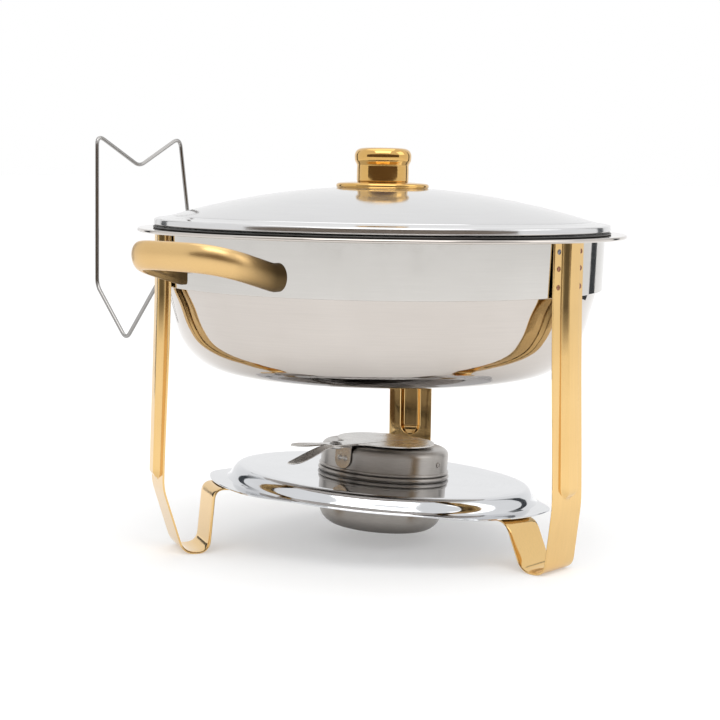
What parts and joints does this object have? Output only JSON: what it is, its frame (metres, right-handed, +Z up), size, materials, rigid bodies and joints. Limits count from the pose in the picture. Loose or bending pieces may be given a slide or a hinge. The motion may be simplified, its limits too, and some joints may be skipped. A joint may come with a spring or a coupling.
{
  "type": "chafing dish food warmer",
  "caption": "Round tabletop chafing dish: dome-lidded food pan in a water pan on a three-legged stand, with fuel burner, damper, carrying handles and lid holder.",
  "frame": {"origin": "centre of the footprint (bounding box), on the surface the feet stand on", "axes": "+Z up; +Y towards the wire lid holder; the carrying handles are on the +X and -X sides; one leg is at the -Y side"},
  "size_m": [0.44, 0.4466, 0.3005],
  "materials": {
    "mirror_steel": "mirror-polished stainless steel",
    "lid_steel": "softly polished stainless steel, spun",
    "gold_leg": "gold-coloured plating, polished, with a faint lengthwise brushing",
    "gold_knob": "polished gold-coloured plating",
    "satin_gold": "satin gold-coloured plating",
    "brushed_steel": "brushed stainless steel, turned",
    "chrome_wire": "chrome-plated wire",
    "plain_steel": "plain steel fasteners"
  },
  "bodies": {
    "stand": {"support_band": "mirror_steel", "leg_front": "gold_leg", "leg_rear_left": "gold_leg", "leg_rear_right": "gold_leg", "burner_shelf": "mirror_steel", "handle_right": "satin_gold", "handle_left": "satin_gold", "handle_screw_right_rear": "plain_steel", "handle_screw_right_front": "plain_steel", "handle_screw_left_rear": "plain_steel", "handle_screw_left_front": "plain_steel", "lid_holder": "chrome_wire"},
    "water_pan": {"water_pan": "mirror_steel"},
    "food_pan": {"food_pan": "mirror_steel"},
    "lid": {"lid": "lid_steel", "knob_base_plate": "gold_knob", "knob": "gold_knob", "knob_screw": "plain_steel", "knob_washer": "plain_steel"},
    "burner": {"burner_cup": "brushed_steel"},
    "burner_cover": {"burner_cover": "brushed_steel", "damper_bracket": "brushed_steel", "damper_rivet": "plain_steel"},
    "damper": {"damper": "brushed_steel"}
  },
  "joints": [
    {"name": "water_pan_lift", "type": "slide", "parent": "stand", "child": "water_pan", "axis": [0, 0, 1], "range_m": [0, 0.11]},
    {"name": "food_pan_lift", "type": "slide", "parent": "water_pan", "child": "food_pan", "axis": [0, 0, 1], "range_m": [0, 0.075]},
    {"name": "lid_lift", "type": "slide", "parent": "food_pan", "child": "lid", "axis": [0, 0, 1], "range_m": [0, 0.06]},
    {"name": "burner_lift", "type": "slide", "parent": "stand", "child": "burner", "axis": [0.0706, -0.03, 0.9971], "range_m": [0, 0.025]},
    {"name": "burner_cover_lift", "type": "slide", "parent": "burner", "child": "burner_cover", "axis": [0.0706, -0.03, 0.9971], "range_m": [0, 0.012]},
    {"name": "damper_swing", "type": "hinge", "parent": "burner_cover", "child": "damper", "pos_m": [-0.05347, -0.04737, 0.07723], "axis": [0.0706, -0.03, 0.9971], "range_deg": [-90, 90]}
  ]
}
